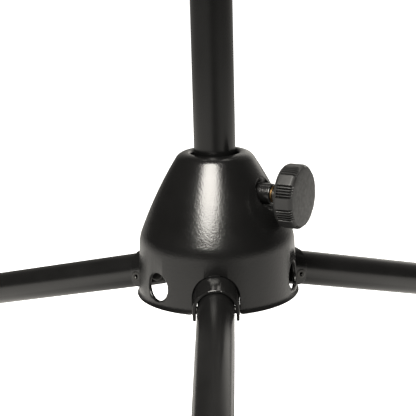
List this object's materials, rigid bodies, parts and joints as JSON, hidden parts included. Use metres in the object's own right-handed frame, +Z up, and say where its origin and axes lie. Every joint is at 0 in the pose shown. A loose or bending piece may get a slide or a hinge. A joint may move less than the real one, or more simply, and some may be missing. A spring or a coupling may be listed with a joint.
{
  "type": "trumpet stand",
  "caption": "Folding floor stand that holds a trumpet upright by its bell, on splayed tubular legs with a sliding post and clamp knob.",
  "frame": {"origin": "centre of the footprint on the floor", "axes": "+Z up along the post, -Y towards the front leg, +X to the right seen from the front"},
  "size_m": [0.431, 0.376, 0.4042],
  "materials": {
    "hub_coat": "satin black powder coat with fine orange peel",
    "leg_coat": "satin black powder coat",
    "post_coat": "satin black powder coat",
    "blackened_steel": "blackened zinc plate",
    "zinc_steel": "bright zinc plate",
    "brass": "turned brass",
    "nylon": "matt black nylon",
    "knob_plastic": "matt black moulded plastic",
    "peg_plastic": "matt black moulded plastic",
    "felt": "black felt",
    "rubber": "matt black rubber"
  },
  "bodies": {
    "hub": {"hub_housing": "hub_coat", "guide_sleeve": "nylon", "clamp_boss": "hub_coat", "thread_insert": "brass", "leg_carrier": "blackened_steel", "leg_pin_front": "blackened_steel", "leg_pin_right": "blackened_steel", "leg_pin_left": "blackened_steel"},
    "mast": {"post_tube": "post_coat", "post_plug": "nylon", "peg_base": "peg_plastic", "peg_body": "peg_plastic", "peg_felt_ring": "felt", "peg_cap": "rubber", "peg_felt_strip_1": "felt", "peg_felt_strip_2": "felt", "peg_felt_strip_3": "felt", "peg_felt_strip_4": "felt"},
    "clamp_pad": {"pressure_pad": "nylon"},
    "clamp_knob": {"knob": "knob_plastic", "clamp_screw": "zinc_steel"},
    "leg_front": {"leg_tube_front": "leg_coat", "leg_saddle_front": "leg_coat", "leg_rivet_front": "blackened_steel", "foot_front": "rubber"},
    "leg_right": {"leg_tube_right": "leg_coat", "leg_saddle_right": "leg_coat", "leg_rivet_right": "blackened_steel", "foot_right": "rubber"},
    "leg_left": {"leg_tube_left": "leg_coat", "leg_saddle_left": "leg_coat", "leg_rivet_left": "blackened_steel", "foot_left": "rubber"}
  },
  "joints": [
    {"name": "leg_fold_front", "type": "hinge", "parent": "hub", "child": "leg_front", "pos_m": [0, 0.03128, 0.0644], "axis": [1, 0, 0], "range_deg": [0, 75.7]},
    {"name": "leg_fold_right", "type": "hinge", "parent": "hub", "child": "leg_right", "pos_m": [0.02252, 0.07028, 0.0644], "axis": [-0.5, 0.866, 0], "range_deg": [0, 75.7]},
    {"name": "leg_fold_left", "type": "hinge", "parent": "hub", "child": "leg_left", "pos_m": [-0.02252, 0.07028, 0.0644], "axis": [-0.5, -0.866, 0], "range_deg": [0, 75.7]},
    {"name": "post_slide", "type": "slide", "parent": "hub", "child": "mast", "axis": [0, 0, 1], "range_m": [-0.045, 0.03]},
    {"name": "pad_travel", "type": "slide", "parent": "hub", "child": "clamp_pad", "axis": [0.8988, -0.4384, 0], "range_m": [0, 0.0015]},
    {"name": "knob_turn", "type": "hinge", "parent": "clamp_pad", "child": "clamp_knob", "pos_m": [0.02696, 0.04413, 0.1048], "axis": [0.8988, -0.4384, 0], "range_deg": [0, 544]}
  ],
  "couplings": [
    {"joint": "knob_turn", "follows": "pad_travel", "rad_per_m": 6283.2}
  ]
}
